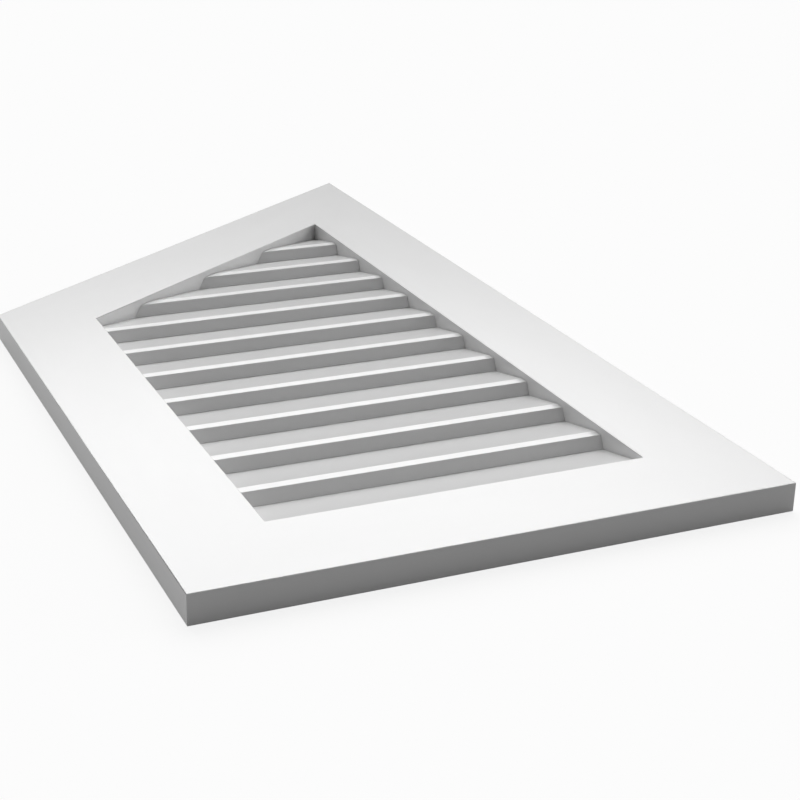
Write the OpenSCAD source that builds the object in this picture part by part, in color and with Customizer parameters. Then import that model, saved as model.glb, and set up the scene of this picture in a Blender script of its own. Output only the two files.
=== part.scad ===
// Half-peaked gable vent for surface mounting, lying on its back with its face up.
// Four mitred boards make a frame with one vertical side longer than the other and a sloping top.
// Eleven slats drop into a rabbet in the back of the frame and lap each other like siding boards,
// so that rain runs off every nose and none gets behind.
// X runs across the vent, Y runs up the wall to the peak, and Z comes out of the wall.
// The origin is the middle of the back face's bounding rectangle. Sizes are in millimetres.

/* [Frame] */
// Overall width
vent_w = 508; // [400:1:700]
// Overall height of the long side
long_side_h = 1016; // [850:1:1400]
// Rise of the sloping top for each 12 of run
roof_pitch = 9; // [6:0.5:12]
// Face width of each frame board
board_w = 88.9; // [70:0.1:110]
// Thickness of each frame board, and so of the vent
board_t = 25.4; // [22:0.1:38]

/* [Rabbet] */
// Width of the rabbet in the frame's back inner edge
rabbet_w = 12.7; // [10:0.1:18]
// Depth of that rabbet, measured from the back face
rabbet_d = 5.2; // [4.5:0.1:8]

/* [Slats] */
// Number of slats up the long side
slat_count = 11; // [8:1:14]
// How far the noses lie below the frame's face
nose_recess = 6.35; // [2:0.05:9]
// Width of each nose, the flat band that is level with the frame's face
nose_w = 9.25; // [5:0.05:16]
// How far each riser's foot stands in front of its nose
riser_run = 6.25; // [1:0.05:12]
// Length of slat that is hidden under the next one up
lap = 12.7; // [8:0.1:20]
// Height of the slats' backs above the frame's back face
back_relief = 0.4; // [0.2:0.1:1]
// Gap round a slat, at its ends and in its lap
slat_gap = 0.2; // [0.1:0.05:0.4]

/* [Slat screws] */
// Diameter of the screw's countersunk head
screw_head_d = 6.6; // [5.5:0.1:8]
// Height of the screw's cone
screw_head_h = 2.2; // [1.6:0.1:3]
// Diameter of the screw's shank
screw_shank_d = 3.2; // [2.5:0.1:4]
// Overall length of the screw
screw_l = 16; // [10:0.5:18]
// Length of the screw's tapered point
point_l = 3; // [2:0.1:5]
// Diameter of the blunt end of that point
point_d = 0.8; // [0.4:0.1:1.5]
// Depth at which the head lies below the slat's back
screw_sink = 0.3; // [0:0.1:0.8]
// Gap round the shank where it passes through a slat
shank_gap = 0.2; // [0.1:0.05:0.5]
// Depth of each pilot hole beyond the screw's point
pilot_extra = 1; // [0.5:0.1:1.5]
// Width of the drive recess across its arms
drive_w = 3.4; // [2.5:0.1:4.5]
// Width of one arm of the drive recess
drive_arm = 0.9; // [0.6:0.1:1.4]
// Depth of the drive recess
drive_d = 1.2; // [0.8:0.1:1.8]

/* [Biscuits] */
// Length of each biscuit, along its mitre
biscuit_l = 56; // [40:1:64]
// Width of each biscuit, across its mitre
biscuit_w = 23; // [16:1:30]
// Thickness of each biscuit, and of the slots that grip it
biscuit_t = 4; // [3:0.1:6]
// Gap round the edge of a biscuit in its slots
biscuit_gap = 0.2; // [0.1:0.05:0.4]

/* [Hidden] */
$fn = 48;
// Sides that stand for a full circle of a biscuit's edge, which is a wide arc
arc_sides = 160;
// Length by which a cut overshoots the face that it starts from
over = 1;

SLATS = [for (i = [1 : slat_count]) str("louvre_slat_", i < 10 ? "0" : "", i)];
FRAME = ["frame_bottom_rail", "frame_long_stile", "frame_sloping_rail", "frame_short_stile"];
BISCUITS = ["biscuit_bottom_left", "biscuit_bottom_right", "biscuit_peak", "biscuit_eave"];

BOARD_COLOUR = "whitesmoke";
SLAT_COLOUR = "white";
BISCUIT_COLOUR = "burlywood";
SCREW_COLOUR = "silver";

// The sloping top climbs by slope for each unit of width. A line moved square to it by one unit
// moves by slope_stretch up the wall.
run_unit = 12;
slope = roof_pitch / run_unit;
slope_stretch = sqrt(1 + slope * slope);
short_side_h = long_side_h - vent_w * slope;

left_x = -vent_w / 2;
right_x = vent_w / 2;
base_y = -long_side_h / 2;

// Height on the wall, at x, of the sloping top's edge moved inwards by inset.
function slope_y(x, inset) =
    base_y + short_side_h + (x - left_x) * slope - inset * slope_stretch;

// Place across the vent at which that same line reaches height y.
function slope_x(y, inset) =
    left_x + (y - base_y - short_side_h + inset * slope_stretch) / slope;

// The vent's outline moved inwards by inset on all four sides: the bottom left corner, the
// bottom right one, the peak and the eave.
function outline(inset) = [
    [left_x + inset, base_y + inset],
    [right_x - inset, base_y + inset],
    [right_x - inset, slope_y(right_x - inset, inset)],
    [left_x + inset, slope_y(left_x + inset, inset)]
];

outer = outline(0);
opening = outline(board_w);
rabbet = outline(board_w - rabbet_w);

// The slats are spaced so that a whole number of them fills the opening's long side.
sill_y = opening[0][1];
slat_pitch = (opening[2][1] - sill_y) / slat_count;
function slat_y(i) = sill_y + i * slat_pitch;

// A slat's section, with y counted from the front of its nose and z from the vent's back.
// The top falls in one slope from the nose to the tip, where the slat is as thick as the rabbet
// is deep, and the next slat's riser stands on that slope.
nose_z = board_t - nose_recess;
tip_y = slat_pitch - riser_run + lap;
fall = (nose_z - rabbet_d) / (tip_y - nose_w);
function top_z(y) = nose_z - fall * (y - nose_w);
foot_z = top_z(slat_pitch - riser_run) + slat_gap;
heel_y = tip_y - slat_pitch + slat_gap;
heel_z = top_z(tip_y + slat_gap) + slat_gap;

// Length by which the end slats' sections run on, for the frame's outline to cut off.
run_on = board_w;

// The lowest slat has none below it, so it is solid from its nose down to its back.
FRONT_OF_LOWEST = [[-run_on, back_relief], [-run_on, nose_z]];
FRONT_OF_OTHERS = [[heel_y, back_relief], [heel_y, heel_z], [-riser_run, foot_z], [0, nose_z]];
// The highest slat has none above it, so its tip runs on level into the peak.
BACK_OF_HIGHEST = [[tip_y + run_on, rabbet_d], [tip_y + run_on, back_relief]];
BACK_OF_OTHERS = [[tip_y, back_relief]];
function section(i) = concat(
    i == 0 ? FRONT_OF_LOWEST : FRONT_OF_OTHERS,
    [[nose_w, nose_z], [tip_y, rabbet_d]],
    i == slat_count - 1 ? BACK_OF_HIGHEST : BACK_OF_OTHERS
);

// Two screws hold each slat, halfway across the rabbet and halfway up the back that the slat shows.
screw_inset = board_w - rabbet_w / 2;
screw_z = back_relief + screw_sink;
function screw_y(i) = slat_y(i) + (heel_y + tip_y) / 2;
function screw_left_x(i) = max(left_x + screw_inset, slope_x(screw_y(i), screw_inset));
SCREW_PLACES = [
    for (i = [0 : slat_count - 1])
        for (x = [screw_left_x(i), right_x - screw_inset]) [x, screw_y(i)]
];

// Radius of the arc through a biscuit's two ends and the middle of one long edge.
biscuit_r = (biscuit_l * biscuit_l + biscuit_w * biscuit_w) / (4 * biscuit_w);

// Board from corner i to corner j: mitred ends, the rabbet behind its inner edge, and its holes.
module frame_board(i, j) {
    color(BOARD_COLOUR)
    difference() {
        linear_extrude(board_t) polygon([outer[i], outer[j], opening[j], opening[i]]);
        within(rabbet, -over, rabbet_d);
        lens(i, biscuit_gap);
        lens(j, biscuit_gap);
        screw_bores(screw_shank_d, screw_z + screw_l + pilot_extra);
    }
}

// Everything inside an outline, from height low to height high.
module within(corners, low, high) {
    translate([0, 0, low]) linear_extrude(high - low) polygon(corners);
}

// A biscuit's lens shape at the middle of corner i's mitre, with its edge moved out by gap.
module lens(i, gap) {
    mitre = opening[i] - outer[i];
    middle = (opening[i] + outer[i]) / 2;
    translate([middle[0], middle[1], (board_t - biscuit_t) / 2])
    rotate([0, 0, atan2(mitre[1], mitre[0])])
    intersection_for(side = [-1, 1])
        translate([0, side * (biscuit_r - biscuit_w / 2), 0])
            cylinder(r = biscuit_r + gap, h = biscuit_t, $fn = arc_sides);
}

module biscuit(i) {
    color(BISCUIT_COLOUR) lens(i, 0);
}

// Slat i: what shows through the opening, with a tongue all round it that lies in the rabbet.
module slat(i) {
    color(SLAT_COLOUR)
    difference() {
        intersection() {
            long_slat(i);
            union() {
                within(outline(board_w + slat_gap), 0, board_t);
                within(outline(board_w - rabbet_w + slat_gap), 0, rabbet_d);
            }
        }
        screw_bores(screw_shank_d + 2 * shank_gap, board_t);
        countersinks();
    }
}

// Slat i before it is cut to length: its section drawn across the whole vent.
module long_slat(i) {
    translate([left_x, slat_y(i), 0])
    rotate([90, 0, 90])
    linear_extrude(vent_w) polygon(section(i));
}

// A straight hole for each screw, from behind the vent up to height top.
module screw_bores(d, top) {
    for (p = SCREW_PLACES)
        translate([p[0], p[1], -over]) cylinder(d = d, h = top + over);
}

// A seat for each screw's head, and the short bore that the head goes in through.
module countersinks() {
    for (p = SCREW_PLACES)
        translate([p[0], p[1], screw_z]) {
            screw_cone();
            translate([0, 0, -screw_z - over]) cylinder(d = screw_head_d, h = screw_z + over);
        }
}

module screw_cone() {
    cylinder(d1 = screw_head_d, d2 = screw_shank_d, h = screw_head_h);
}

// One screw, pointing up, with a cross recess in its head.
module screw() {
    difference() {
        union() {
            screw_cone();
            cylinder(d = screw_shank_d, h = screw_l - point_l);
            translate([0, 0, screw_l - point_l])
                cylinder(d1 = screw_shank_d, d2 = point_d, h = point_l);
        }
        for (turn = [0, 90])
            rotate([0, 0, turn])
            translate([-drive_w / 2, -drive_arm / 2, -over])
                cube([drive_w, drive_arm, drive_d + over]);
    }
}

module slat_screws() {
    color(SCREW_COLOUR)
    for (p = SCREW_PLACES)
        translate([p[0], p[1], screw_z]) screw();
}

for (i = [0 : 3])
    frame_board(i, (i + 1) % 4);
for (i = [0 : slat_count - 1])
    slat(i);
for (i = [0 : 3])
    biscuit(i);
slat_screws();
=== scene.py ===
"""Half-peaked gable vent in white cellular PVC, lying on its back on a white floor.

The frame's boards are swept here with eased edges and true mitres. The slats are copies of the
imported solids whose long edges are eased. Biscuits and screws keep their solids and get a finish.
"""
import math

import bmesh
import bpy
import numpy as np
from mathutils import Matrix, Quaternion, Vector


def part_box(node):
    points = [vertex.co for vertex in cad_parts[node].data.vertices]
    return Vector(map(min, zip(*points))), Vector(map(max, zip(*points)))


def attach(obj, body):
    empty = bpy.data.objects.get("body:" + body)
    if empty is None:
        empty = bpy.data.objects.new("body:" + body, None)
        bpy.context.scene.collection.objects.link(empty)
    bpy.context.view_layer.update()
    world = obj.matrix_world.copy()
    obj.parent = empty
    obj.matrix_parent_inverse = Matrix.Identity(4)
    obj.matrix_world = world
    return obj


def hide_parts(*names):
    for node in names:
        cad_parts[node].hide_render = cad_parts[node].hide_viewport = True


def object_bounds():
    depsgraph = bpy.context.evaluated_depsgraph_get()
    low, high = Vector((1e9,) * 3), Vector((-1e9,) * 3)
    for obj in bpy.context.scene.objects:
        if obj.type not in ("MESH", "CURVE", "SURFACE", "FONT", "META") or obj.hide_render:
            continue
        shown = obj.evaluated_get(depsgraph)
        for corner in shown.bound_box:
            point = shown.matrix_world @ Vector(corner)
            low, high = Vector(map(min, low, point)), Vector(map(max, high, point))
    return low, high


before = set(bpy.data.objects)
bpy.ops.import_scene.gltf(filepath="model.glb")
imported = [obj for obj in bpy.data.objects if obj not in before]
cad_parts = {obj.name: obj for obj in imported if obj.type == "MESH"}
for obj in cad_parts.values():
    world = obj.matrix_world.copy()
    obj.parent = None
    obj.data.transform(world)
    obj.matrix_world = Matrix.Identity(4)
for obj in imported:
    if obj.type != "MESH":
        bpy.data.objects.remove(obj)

bl_info = {
    "name": "Gable vent",
    "version": (1, 0, 0),
    "blender": (4, 5, 0),
    "location": "3D View > Sidebar > Gable vent",
    "description": "Builds a half-peaked louvred gable vent with its boards, slats and fixings",
    "category": "Add Mesh",
}

CAD_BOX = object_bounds()

BOARDS = ("frame_bottom_rail", "frame_long_stile", "frame_sloping_rail", "frame_short_stile")
SLATS = tuple(sorted(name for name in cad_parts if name.startswith("louvre_slat_")))
BISCUITS = tuple(sorted(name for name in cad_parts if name.startswith("biscuit_")))
SCREWS = "slat_screws"

# Distance, in metres, below which two measures read off a mesh are the same.
TOUCH = 1e-5
# Distance, in metres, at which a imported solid's loose corners are joined, and the angle up to which
# two of its faces are one flat face.
JOIN_DISTANCE = 1e-6
FLAT_ANGLE = math.radians(0.5)
# What makes an edge of a slat one of its long edges: how nearly it runs straight across the vent,
# how far its two faces turn, and its length in metres.
EDGE_ACROSS = 0.9999
EDGE_ANGLE = math.radians(6)
EDGE_LENGTH = 0.02
# Angle between two faces of a slat past which its shading breaks.
SHADING_ANGLE = math.radians(5)

# Cellular PVC: how far its mottle darkens and lightens the colour, how far its milling lines change
# the roughness, its refraction, and the strengths of its two bumps with their depth in metres.
PVC_MOTTLE = (0.975, 1.02)
PVC_ROUGHNESS_CHANGE = 0.03
PVC_IOR = 1.5
PVC_PEBBLE = 0.06
PVC_MILLING = 0.05
PVC_BUMP_DEPTH = 0.0001
# Pressed beech: how dark its pores are, where they begin and end in the grain, and its bump.
BEECH_PORES = 0.6
BEECH_PORE_RANGE = (0.3, 0.62)
BEECH_ROUGHNESS = 0.8
BEECH_BUMP = 0.25
BEECH_BUMP_DEPTH = 0.0002
# Zinc plating: how dark its dull blotches are, and the roughness of bright and dull plating.
ZINC_BLOTCH = 0.86
ZINC_ROUGHNESS = (0.22, 0.46)

# Floor: its gap below the vent in metres, the tone that the camera sees, the tone by which it
# throws light back up, the share of plain white in it where it is seen, and the part of that in
# gloss.
FLOOR_GAP = 0.0001
FLOOR_SEEN = 0.97
FLOOR_THROWN = 0.38
FLOOR_WHITE = 0.85
FLOOR_GLOSS = 0.55
# Azimuth and elevation, in degrees, at which each soft lamp stands.
LAMPS = {"key": (160, 49), "right": (90, 8), "left": (-90, 15)}
# Camera: sensor width in millimetres, nearest and farthest distance in metres, and half the
# picture's width with the focal length, both in pixels.
SENSOR_WIDTH = 36.0
CLIP_RANGE = (0.01, 100.0)
HALF_PICTURE = 400
FOCAL_LENGTH = 1704
WHITE = (1.0, 1.0, 1.0)


def vent_sizes():
    """The vent's measures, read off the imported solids: its outer corners, the boards' width and
    thickness, and the rabbet's width and depth."""
    low, high = CAD_BOX
    rail_low, rail_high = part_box("frame_bottom_rail")
    eave_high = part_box("frame_short_stile")[1]
    middle_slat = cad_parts[SLATS[len(SLATS) // 2]].data
    points = np.empty(len(middle_slat.vertices) * 3, np.float32)
    middle_slat.vertices.foreach_get("co", points)
    points = points.reshape(-1, 3)
    board_w = rail_high.y - rail_low.y
    opening_x = high.x - board_w
    # A slat's tongue ends one gap short of the rabbet's wall, and its upper part one gap short of
    # the opening's.
    tongue_x = float(points[:, 0].max())
    rabbet_d = float(points[points[:, 0] > tongue_x - TOUCH, 2].max())
    gap = opening_x - float(points[points[:, 2] > rabbet_d + TOUCH, 0].max())
    return {
        "corners": np.array([
            (low.x, low.y), (high.x, low.y), (high.x, high.y), (low.x, eave_high.y),
        ]),
        "board_w": board_w,
        "board_t": high.z - low.z,
        "rabbet_w": tongue_x + gap - opening_x,
        "rabbet_d": rabbet_d,
    }


VENT = vent_sizes()


class VentBoardSettings(bpy.types.PropertyGroup):
    """Sizes and colours of the trim boards that make the frame."""
    ease: bpy.props.FloatProperty(
        name="Edge ease", description="Radius of the boards' eased edges",
        default=0.0005, min=0.0001, max=0.003, unit="LENGTH")
    ease_steps: bpy.props.IntProperty(
        name="Ease steps", description="Faces round each eased edge", default=3, min=1, max=8)
    colour: bpy.props.FloatVectorProperty(
        name="Board colour", description="Colour of the boards' satin skin",
        default=(0.80, 0.80, 0.80), min=0.0, max=1.0, subtype="COLOR")
    roughness: bpy.props.FloatProperty(
        name="Board roughness", description="Roughness of the boards' skin",
        default=0.20, min=0.0, max=1.0, subtype="FACTOR")


class VentSlatSettings(bpy.types.PropertyGroup):
    """Sizes and colours of the louvre slats."""
    ease: bpy.props.FloatProperty(
        name="Edge ease", description="Radius of the slats' eased long edges",
        default=0.0005, min=0.0001, max=0.003, unit="LENGTH")
    ease_steps: bpy.props.IntProperty(
        name="Ease steps", description="Faces round each eased edge", default=3, min=1, max=8)
    colour: bpy.props.FloatVectorProperty(
        name="Slat colour", description="Colour of the slats' milled surface",
        default=(0.80, 0.80, 0.80), min=0.0, max=1.0, subtype="COLOR")
    roughness: bpy.props.FloatProperty(
        name="Slat roughness", description="Roughness of the slats' milled surface",
        default=0.20, min=0.0, max=1.0, subtype="FACTOR")


class VentFixingSettings(bpy.types.PropertyGroup):
    """Colours of the biscuits and screws."""
    wood: bpy.props.FloatVectorProperty(
        name="Biscuit colour", description="Colour of the pressed beech biscuits",
        default=(0.56, 0.39, 0.22), min=0.0, max=1.0, subtype="COLOR")
    zinc: bpy.props.FloatVectorProperty(
        name="Screw colour", description="Colour of the screws' zinc plating",
        default=(0.62, 0.62, 0.60), min=0.0, max=1.0, subtype="COLOR")


class VentStageSettings(bpy.types.PropertyGroup):
    """Floor, light and camera."""
    floor_size: bpy.props.FloatProperty(
        name="Floor size", description="Side of the square floor",
        default=30.0, min=2.0, unit="LENGTH")
    sky: bpy.props.FloatProperty(
        name="Sky light", description="Strength of the even light from all round",
        default=0.12, min=0.0)
    key: bpy.props.FloatProperty(
        name="Key light", description="Strength of the wide soft light from beyond the peak",
        default=2.55, min=0.0)
    right: bpy.props.FloatProperty(
        name="Right light", description="Strength of the wide soft light from the right",
        default=1.35, min=0.0)
    left: bpy.props.FloatProperty(
        name="Left light", description="Strength of the wide soft light from the left",
        default=0.36, min=0.0)
    spread: bpy.props.FloatProperty(
        name="Light spread", description="Angle that each soft light spans, seen from the vent",
        default=math.radians(60), subtype="ANGLE")
    azimuth: bpy.props.FloatProperty(
        name="Camera azimuth", description="Turn of the camera round the vent, 0 looking along +Y",
        default=math.radians(-24.25), subtype="ANGLE")
    elevation: bpy.props.FloatProperty(
        name="Camera elevation", description="Height of the camera above the horizon",
        default=math.radians(21.64), subtype="ANGLE")
    roll: bpy.props.FloatProperty(
        name="Camera roll", description="Turn of the camera about its own line of sight",
        default=math.radians(1.18), subtype="ANGLE")
    aim_x: bpy.props.FloatProperty(
        name="Aim across", description="Point looked at, in widths of the vent from its left edge",
        default=0.5585)
    aim_y: bpy.props.FloatProperty(
        name="Aim up", description="Point looked at, in widths of the vent from its bottom edge",
        default=0.5482)
    distance: bpy.props.FloatProperty(
        name="Camera distance",
        description="Distance from the point looked at, in widths of the vent",
        default=2.985)
    field: bpy.props.FloatProperty(
        name="Field of view", description="Angle that the picture spans",
        default=2 * math.atan(HALF_PICTURE / FOCAL_LENGTH), subtype="ANGLE")


def new_mesh_object(name, vertices, faces, uv=None, smooth=None):
    """An object whose mesh has these vertices and faces, one UV pair for each face corner, and
    smooth shading on the faces that smooth marks."""
    mesh = bpy.data.meshes.new(name)
    mesh.from_pydata(vertices, [], faces)
    if uv is not None:
        layer = mesh.uv_layers.new(name="along")
        layer.data.foreach_set("uv", np.asarray(uv, np.float32).ravel())
    if smooth is not None:
        mesh.polygons.foreach_set("use_smooth", smooth)
    mesh.update()
    item = bpy.data.objects.new(name, mesh)
    bpy.context.collection.objects.link(item)
    return item


def inset_corner(index, inset):
    """Corner of the vent's outline after each side moves inwards by inset.

    The corner slides along the line that halves its angle: it moves by the sum of the two sides'
    unit directions away from it, times inset over the sine of the angle between them."""
    corners = VENT["corners"]
    here = corners[index]
    after = corners[(index + 1) % 4] - here
    before = corners[index - 1] - here
    after = after / np.linalg.norm(after)
    before = before / np.linalg.norm(before)
    sine = abs(after[0] * before[1] - after[1] * before[0])
    return here + np.multiply.outer(inset, (after + before) / sine)


def eased_profile(points, sharp, radius, steps):
    """A closed profile whose corners are arcs of the given radius, apart from the sharp ones.

    Each corner's arc runs between the points one radius away along both sides, on the quarter
    ellipse corner + a(1 - sin t) + b(1 - cos t), which is a circle where the sides are square."""
    turn = np.linspace(0, math.pi / 2, steps + 1)[:, None]
    rounded = []
    for index, point in enumerate(points):
        if index in sharp:
            rounded.append(point[None, :])
            continue
        back = points[index - 1] - point
        ahead = points[(index + 1) % len(points)] - point
        a = back / np.linalg.norm(back) * radius
        b = ahead / np.linalg.norm(ahead) * radius
        rounded.append(point + a * (1 - np.sin(turn)) + b * (1 - np.cos(turn)))
    return np.concatenate(rounded)


def board_surface(index, ease, steps):
    """Vertices, faces and UVs of the board from corner index to the next one.

    The board's profile has two coordinates: inset, counted from the vent's edge, and height. Point
    (s, t) of the surface lies at height z(t), on the straight line from one corner of the outline
    inset by u(t) to the next corner, at share s of the way. So both ends lie in the mitres. UV is
    the distance along the board and the distance round the profile, in metres."""
    w, t = VENT["board_w"], VENT["board_t"]
    rabbet_w, rabbet_d = VENT["rabbet_w"], VENT["rabbet_d"]
    corners = np.array([
        (0, 0), (0, t), (w, t), (w, rabbet_d), (w - rabbet_w, rabbet_d), (w - rabbet_w, 0),
    ])
    rabbet_corner = 4
    profile = eased_profile(corners, (rabbet_corner,), ease, steps)
    inset, height = profile.T
    start = inset_corner(index, inset)
    end = inset_corner((index + 1) % 4, inset)
    count = len(profile)
    vertices = np.concatenate([
        np.column_stack([start, height]),
        np.column_stack([end, height]),
    ])
    ring = np.arange(count)
    after = (ring + 1) % count
    sides = np.column_stack([ring, ring + count, after + count, after])
    faces = sides.tolist() + [ring.tolist(), (ring[::-1] + count).tolist()]

    direction = (end[0] - start[0]) / np.linalg.norm(end[0] - start[0])
    along = np.concatenate([start @ direction, end @ direction])
    step = np.linalg.norm(np.diff(profile, axis=0, append=profile[:1]), axis=1)
    round_profile = np.concatenate([[0], np.cumsum(step)])
    side_uv = np.stack([
        np.column_stack([along[ring], round_profile[:-1]]),
        np.column_stack([along[ring + count], round_profile[:-1]]),
        np.column_stack([along[after + count], round_profile[1:]]),
        np.column_stack([along[after], round_profile[1:]]),
    ], axis=1).reshape(-1, 2)
    uv = np.concatenate([side_uv, profile, profile[::-1]])
    smooth = np.append(step < ease, [False, False])
    return vertices, faces, uv, smooth


def new_material(name):
    """A new material with its node tree and its Principled shader."""
    material = bpy.data.materials.new(name)
    material.use_nodes = True
    return material, material.node_tree, material.node_tree.nodes["Principled BSDF"]


def feed(tree, node, values):
    """Gives sockets of a node, by name or number, an output to read or a value of their own."""
    for key, value in values.items():
        if isinstance(value, bpy.types.NodeSocket):
            tree.links.new(value, node.inputs[key])
        else:
            node.inputs[key].default_value = value


def add_node(tree, kind, values=None, **fields):
    """A new node with these fields, whose sockets take these values."""
    node = tree.nodes.new(kind)
    for key, value in fields.items():
        setattr(node, key, value)
    feed(tree, node, values or {})
    return node


def combined(tree, operation, first, second):
    """Result of a Math node on two outputs or numbers."""
    return add_node(
        tree, "ShaderNodeMath", {0: first, 1: second}, operation=operation).outputs["Value"]


def in_range(tree, value, low, high):
    """A value between 0 and 1 spread over the range from low to high."""
    return add_node(tree, "ShaderNodeMapRange", {
        "Value": value, "To Min": low, "To Max": high}).outputs["Result"]


def two_tone(tree, share, first, second):
    """A mix of two colours, with this share of the second."""
    return add_node(tree, "ShaderNodeMixRGB", {
        "Fac": share, "Color1": (*first, 1.0), "Color2": (*second, 1.0)}).outputs["Color"]


def toned(colour, factor):
    """A colour made darker or lighter by a factor, and never lighter than white."""
    return tuple(min(channel * factor, 1.0) for channel in colour)


def stretched_noise(tree, place, stretch, cells, detail):
    """A noise texture. Along each axis it has stretch times cells to the metre."""
    mapping = add_node(tree, "ShaderNodeMapping", {"Vector": place, "Scale": stretch})
    return add_node(tree, "ShaderNodeTexNoise", {
        "Vector": mapping.outputs["Vector"], "Scale": cells, "Detail": detail, "Roughness": 0.55,
    }).outputs["Fac"]


def pvc_material(name, colour, roughness, follows_board):
    """White cellular PVC: an even satin skin with faint milling lines along the piece, a fine
    pebble and a barely visible mottle in its colour. On a board the pattern follows the board's
    UV map. On a slat it follows the object, because every slat runs across the vent."""
    material, tree, shader = new_material(name)
    if follows_board:
        place = add_node(tree, "ShaderNodeUVMap", uv_map="along").outputs["UV"]
    else:
        place = add_node(tree, "ShaderNodeTexCoord").outputs["Object"]
    lines = stretched_noise(tree, place, stretch=(1.0, 60.0, 60.0), cells=12.0, detail=3.0)
    pebble = stretched_noise(tree, place, stretch=(1.0, 1.0, 1.0), cells=900.0, detail=2.0)
    mottle = stretched_noise(tree, place, stretch=(0.35, 1.0, 1.0), cells=22.0, detail=4.0)
    fine = add_node(tree, "ShaderNodeBump", {
        "Strength": PVC_PEBBLE, "Distance": PVC_BUMP_DEPTH, "Height": pebble})
    milled = add_node(tree, "ShaderNodeBump", {
        "Strength": PVC_MILLING, "Distance": PVC_BUMP_DEPTH, "Height": lines,
        "Normal": fine.outputs["Normal"]})
    dark, light = (toned(colour, factor) for factor in PVC_MOTTLE)
    feed(tree, shader, {
        "Base Color": two_tone(tree, mottle, dark, light),
        "Roughness": in_range(
            tree, lines, roughness - PVC_ROUGHNESS_CHANGE, roughness + PVC_ROUGHNESS_CHANGE),
        "IOR": PVC_IOR,
        "Normal": milled.outputs["Normal"],
    })
    return material


def biscuit_material(colour):
    """Pressed beech: short grain along one way, darker pores and a dry matt surface."""
    material, tree, shader = new_material("pressed_beech")
    place = add_node(tree, "ShaderNodeTexCoord").outputs["Object"]
    grain = stretched_noise(tree, place, stretch=(40.0, 260.0, 120.0), cells=6.0, detail=5.0)
    wood = add_node(tree, "ShaderNodeValToRGB", {"Fac": grain})
    for element, tone, position in zip(
            wood.color_ramp.elements, (toned(colour, BEECH_PORES), colour), BEECH_PORE_RANGE):
        element.color = (*tone, 1.0)
        element.position = position
    bump = add_node(tree, "ShaderNodeBump", {
        "Strength": BEECH_BUMP, "Distance": BEECH_BUMP_DEPTH, "Height": grain})
    feed(tree, shader, {
        "Base Color": wood.outputs["Color"],
        "Roughness": BEECH_ROUGHNESS,
        "Normal": bump.outputs["Normal"],
    })
    return material


def zinc_material(colour):
    """Bright zinc plating: metal, with blotches of duller and shinier plating."""
    material, tree, shader = new_material("zinc_plating")
    place = add_node(tree, "ShaderNodeTexCoord").outputs["Object"]
    blotch = stretched_noise(tree, place, stretch=(1.0, 1.0, 1.0), cells=700.0, detail=4.0)
    feed(tree, shader, {
        "Base Color": two_tone(tree, blotch, toned(colour, ZINC_BLOTCH), colour),
        "Roughness": in_range(tree, blotch, *ZINC_ROUGHNESS),
        "Metallic": 1.0,
    })
    return material


def give_material(item, material):
    """The material takes every slot of the piece."""
    if not item.material_slots:
        item.data.materials.append(material)
    for slot in item.material_slots:
        slot.material = material


class VENT_OT_boards(bpy.types.Operator):
    """Sweep the four mitred boards of the frame"""
    bl_idname = "vent.boards"
    bl_label = "Frame boards"

    def execute(self, context):
        settings = context.scene.vent_boards
        material = pvc_material("trim_board_pvc", tuple(settings.colour), settings.roughness, True)
        for index, node in enumerate(BOARDS):
            surface = board_surface(index, settings.ease, settings.ease_steps)
            board = new_mesh_object(node + "_eased", *surface)
            give_material(board, material)
            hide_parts(node)
            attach(board, "root")
        return {"FINISHED"}


def merged_copy(node, name):
    """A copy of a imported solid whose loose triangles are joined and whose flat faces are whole."""
    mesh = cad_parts[node].data.copy()
    mesh.name = name
    work = bmesh.new()
    work.from_mesh(mesh)
    bmesh.ops.remove_doubles(work, verts=work.verts, dist=JOIN_DISTANCE)
    bmesh.ops.dissolve_limit(
        work, angle_limit=FLAT_ANGLE, verts=work.verts, edges=work.edges, delimit={"NORMAL"})
    work.to_mesh(mesh)
    work.free()
    item = bpy.data.objects.new(name, mesh)
    bpy.context.collection.objects.link(item)
    return item


def weight_long_edges(item):
    """Bevel weight 1 on the edges that run across the vent and turn by more than a few degrees."""
    work = bmesh.new()
    work.from_mesh(item.data)
    layer = work.edges.layers.float.new("bevel_weight_edge")
    for edge in work.edges:
        a, b = (v.co for v in edge.verts)
        runs_across = abs((b - a).normalized().x) > EDGE_ACROSS
        turns = len(edge.link_faces) == 2 and edge.calc_face_angle() > EDGE_ANGLE
        edge[layer] = float(runs_across and turns and edge.calc_length() > EDGE_LENGTH)
    work.to_mesh(item.data)
    work.free()


class VENT_OT_slats(bpy.types.Operator):
    """Copy the louvre slats and ease their long edges"""
    bl_idname = "vent.slats"
    bl_label = "Louvre slats"

    def execute(self, context):
        settings = context.scene.vent_slats
        material = pvc_material("slat_pvc", tuple(settings.colour), settings.roughness, False)
        for node in SLATS:
            slat = merged_copy(node, node + "_eased")
            weight_long_edges(slat)
            bevel = slat.modifiers.new("eased edges", "BEVEL")
            bevel.limit_method = "WEIGHT"
            bevel.width = settings.ease
            bevel.segments = settings.ease_steps
            bevel.harden_normals = True
            slat.data.shade_smooth()
            slat.data.set_sharp_from_angle(angle=SHADING_ANGLE)
            give_material(slat, material)
            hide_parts(node)
            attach(slat, "root")
        return {"FINISHED"}


class VENT_OT_fixings(bpy.types.Operator):
    """Finish the biscuits in the mitres and the screws behind the slats"""
    bl_idname = "vent.fixings"
    bl_label = "Biscuits and screws"

    def execute(self, context):
        settings = context.scene.vent_fixings
        beech = biscuit_material(tuple(settings.wood))
        zinc = zinc_material(tuple(settings.zinc))
        for node in BISCUITS:
            give_material(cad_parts[node], beech)
        give_material(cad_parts[SCREWS], zinc)
        return {"FINISHED"}


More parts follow.
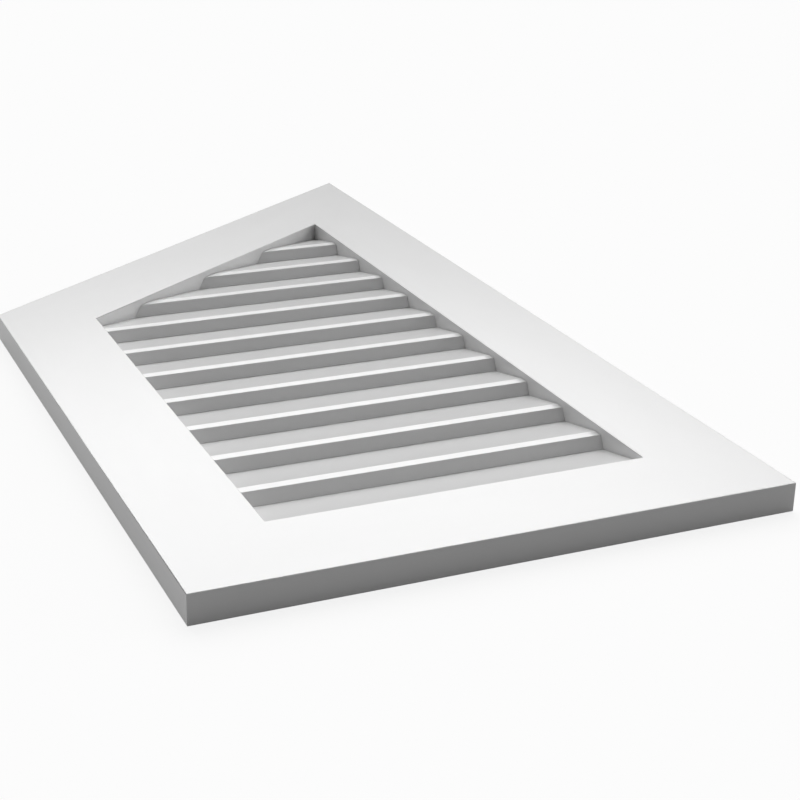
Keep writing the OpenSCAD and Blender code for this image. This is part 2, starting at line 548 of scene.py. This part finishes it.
def white_where_seen(tree, plain, white, share, in_gloss, output):
    """Sends the plain shader to the output. Rays that come from the camera or through glass find
    a share of the white one in it, and so do rays in gloss, by the amount of in_gloss."""
    path = add_node(tree, "ShaderNodeLightPath").outputs
    gloss = combined(tree, "MULTIPLY", path["Is Glossy Ray"], in_gloss)
    seen = combined(tree, "MAXIMUM", path["Is Camera Ray"], path["Is Transmission Ray"])
    seen = combined(tree, "MAXIMUM", seen, gloss)
    mix = add_node(tree, "ShaderNodeMixShader", {
        0: combined(tree, "MULTIPLY", seen, share), 1: plain, 2: white})
    tree.links.new(mix.outputs["Shader"], output)


def floor_material():
    """Matt floor: most of it is plain white where it is seen, so that it reads as white paper and
    still shows the vent's shadow, and it throws little light back up."""
    material, tree, shader = new_material("floor_paper")
    from_camera = add_node(tree, "ShaderNodeLightPath").outputs["Is Camera Ray"]
    feed(tree, shader, {
        "Base Color": two_tone(
            tree, from_camera, toned(WHITE, FLOOR_THROWN), toned(WHITE, FLOOR_SEEN)),
        "Roughness": 1.0,
        "Specular IOR Level": 0.0,
    })
    white = add_node(tree, "ShaderNodeEmission", {"Strength": 1.0})
    white_where_seen(
        tree, shader.outputs["BSDF"], white.outputs["Emission"], FLOOR_WHITE, FLOOR_GLOSS,
        tree.nodes["Material Output"].inputs["Surface"])
    return material


def light_world(strength):
    """An even sky. The camera and glass see it as white, and so does gloss below the horizon, where
    there is floor. Above the horizon gloss meets the dim sky itself, as in a studio whose far wall
    is dark, which keeps the slats' tops darker than their noses."""
    world = bpy.data.worlds.new("pale_sky")
    bpy.context.scene.world = world
    world.use_nodes = True
    tree = world.node_tree
    sky = tree.nodes["Background"]
    feed(tree, sky, {"Color": (*WHITE, 1.0), "Strength": strength})
    white = add_node(tree, "ShaderNodeBackground", {"Color": (*WHITE, 1.0), "Strength": 1.0})
    way = add_node(tree, "ShaderNodeTexCoord").outputs["Generated"]
    height = add_node(tree, "ShaderNodeSeparateXYZ", {"Vector": way}).outputs["Z"]
    below_horizon = combined(tree, "LESS_THAN", height, 0.0)
    white_where_seen(
        tree, sky.outputs["Background"], white.outputs["Background"], 1.0, below_horizon,
        tree.nodes["World Output"].inputs["Surface"])


def direction(azimuth, elevation):
    """Unit vector that points away from the vent. Azimuth 0 is the side of its bottom edge, and
    a quarter turn is its right side."""
    return Vector((
        math.sin(azimuth) * math.cos(elevation),
        -math.cos(azimuth) * math.cos(elevation),
        math.sin(elevation),
    ))


def add_dome(name, azimuth, elevation, spread, strength):
    """A wide round light, as large as a studio dome, which shines evenly on the whole vent."""
    data = bpy.data.lights.new(name, "SUN")
    data.angle = spread
    data.energy = strength
    lamp = bpy.data.objects.new(name, data)
    lamp.rotation_euler = (-direction(azimuth, elevation)).to_track_quat("-Z", "Y").to_euler()
    bpy.context.collection.objects.link(lamp)


def place_camera(settings):
    """The camera stands back from a point on the vent's face, at an azimuth and an elevation, and
    is then rolled about its own line of sight."""
    low, high = CAD_BOX
    width = high.x - low.x
    aim = Vector((low.x + settings.aim_x * width, low.y + settings.aim_y * width, high.z))
    back = direction(settings.azimuth, settings.elevation)
    data = bpy.data.cameras.new("view_of_photo")
    data.sensor_width = SENSOR_WIDTH
    data.lens = data.sensor_width / 2 / math.tan(settings.field / 2)
    data.clip_start, data.clip_end = CLIP_RANGE
    camera = bpy.data.objects.new("view_of_photo", data)
    camera.location = aim + back * (settings.distance * width)
    camera.rotation_mode = "QUATERNION"
    level = (-back).to_track_quat("-Z", "Y")
    camera.rotation_quaternion = level @ Quaternion((0, 0, 1), settings.roll)
    bpy.context.collection.objects.link(camera)
    bpy.context.scene.camera = camera


class VENT_OT_stage(bpy.types.Operator):
    """Lay the floor, hang the lamps and set the camera"""
    bl_idname = "vent.stage"
    bl_label = "Stage"

    def execute(self, context):
        settings = context.scene.vent_stage
        half = settings.floor_size / 2
        base = CAD_BOX[0].z - FLOOR_GAP
        corners = [
            (-half, -half, base), (half, -half, base), (half, half, base), (-half, half, base)]
        floor = new_mesh_object("floor", corners, [(0, 1, 2, 3)])
        give_material(floor, floor_material())
        light_world(settings.sky)
        for name, place in LAMPS.items():
            azimuth, elevation = map(math.radians, place)
            add_dome(name, azimuth, elevation, settings.spread, getattr(settings, name))
        place_camera(settings)
        context.scene.view_settings.view_transform = "Standard"
        return {"FINISHED"}


class VENT_PT_sidebar(bpy.types.Panel):
    """Lists the steps that build the vent"""
    bl_idname = "VENT_PT_sidebar"
    bl_label = "Gable vent"
    bl_space_type = "VIEW_3D"
    bl_region_type = "UI"
    bl_category = "Gable vent"

    def draw(self, context):
        for operator in OPERATORS:
            self.layout.operator(operator.bl_idname)
        for group, kind in SETTINGS.items():
            for field in kind.__annotations__:
                self.layout.prop(getattr(context.scene, group), field)


OPERATORS = (VENT_OT_boards, VENT_OT_slats, VENT_OT_fixings, VENT_OT_stage)
SETTINGS = {
    "vent_boards": VentBoardSettings,
    "vent_slats": VentSlatSettings,
    "vent_fixings": VentFixingSettings,
    "vent_stage": VentStageSettings,
}


def register():
    """Registers the classes and hangs their settings on the scene."""
    for kind in (*SETTINGS.values(), *OPERATORS, VENT_PT_sidebar):
        bpy.utils.register_class(kind)
    for name, kind in SETTINGS.items():
        setattr(bpy.types.Scene, name, bpy.props.PointerProperty(type=kind))


def unregister():
    """Undoes register."""
    for name in SETTINGS:
        delattr(bpy.types.Scene, name)
    for kind in reversed((*SETTINGS.values(), *OPERATORS, VENT_PT_sidebar)):
        bpy.utils.unregister_class(kind)


def main():
    """Builds the vent and its stage, in order."""
    register()
    bpy.ops.vent.boards()
    bpy.ops.vent.slats()
    bpy.ops.vent.fixings()
    bpy.ops.vent.stage()


if __name__ == "__main__":
    main()
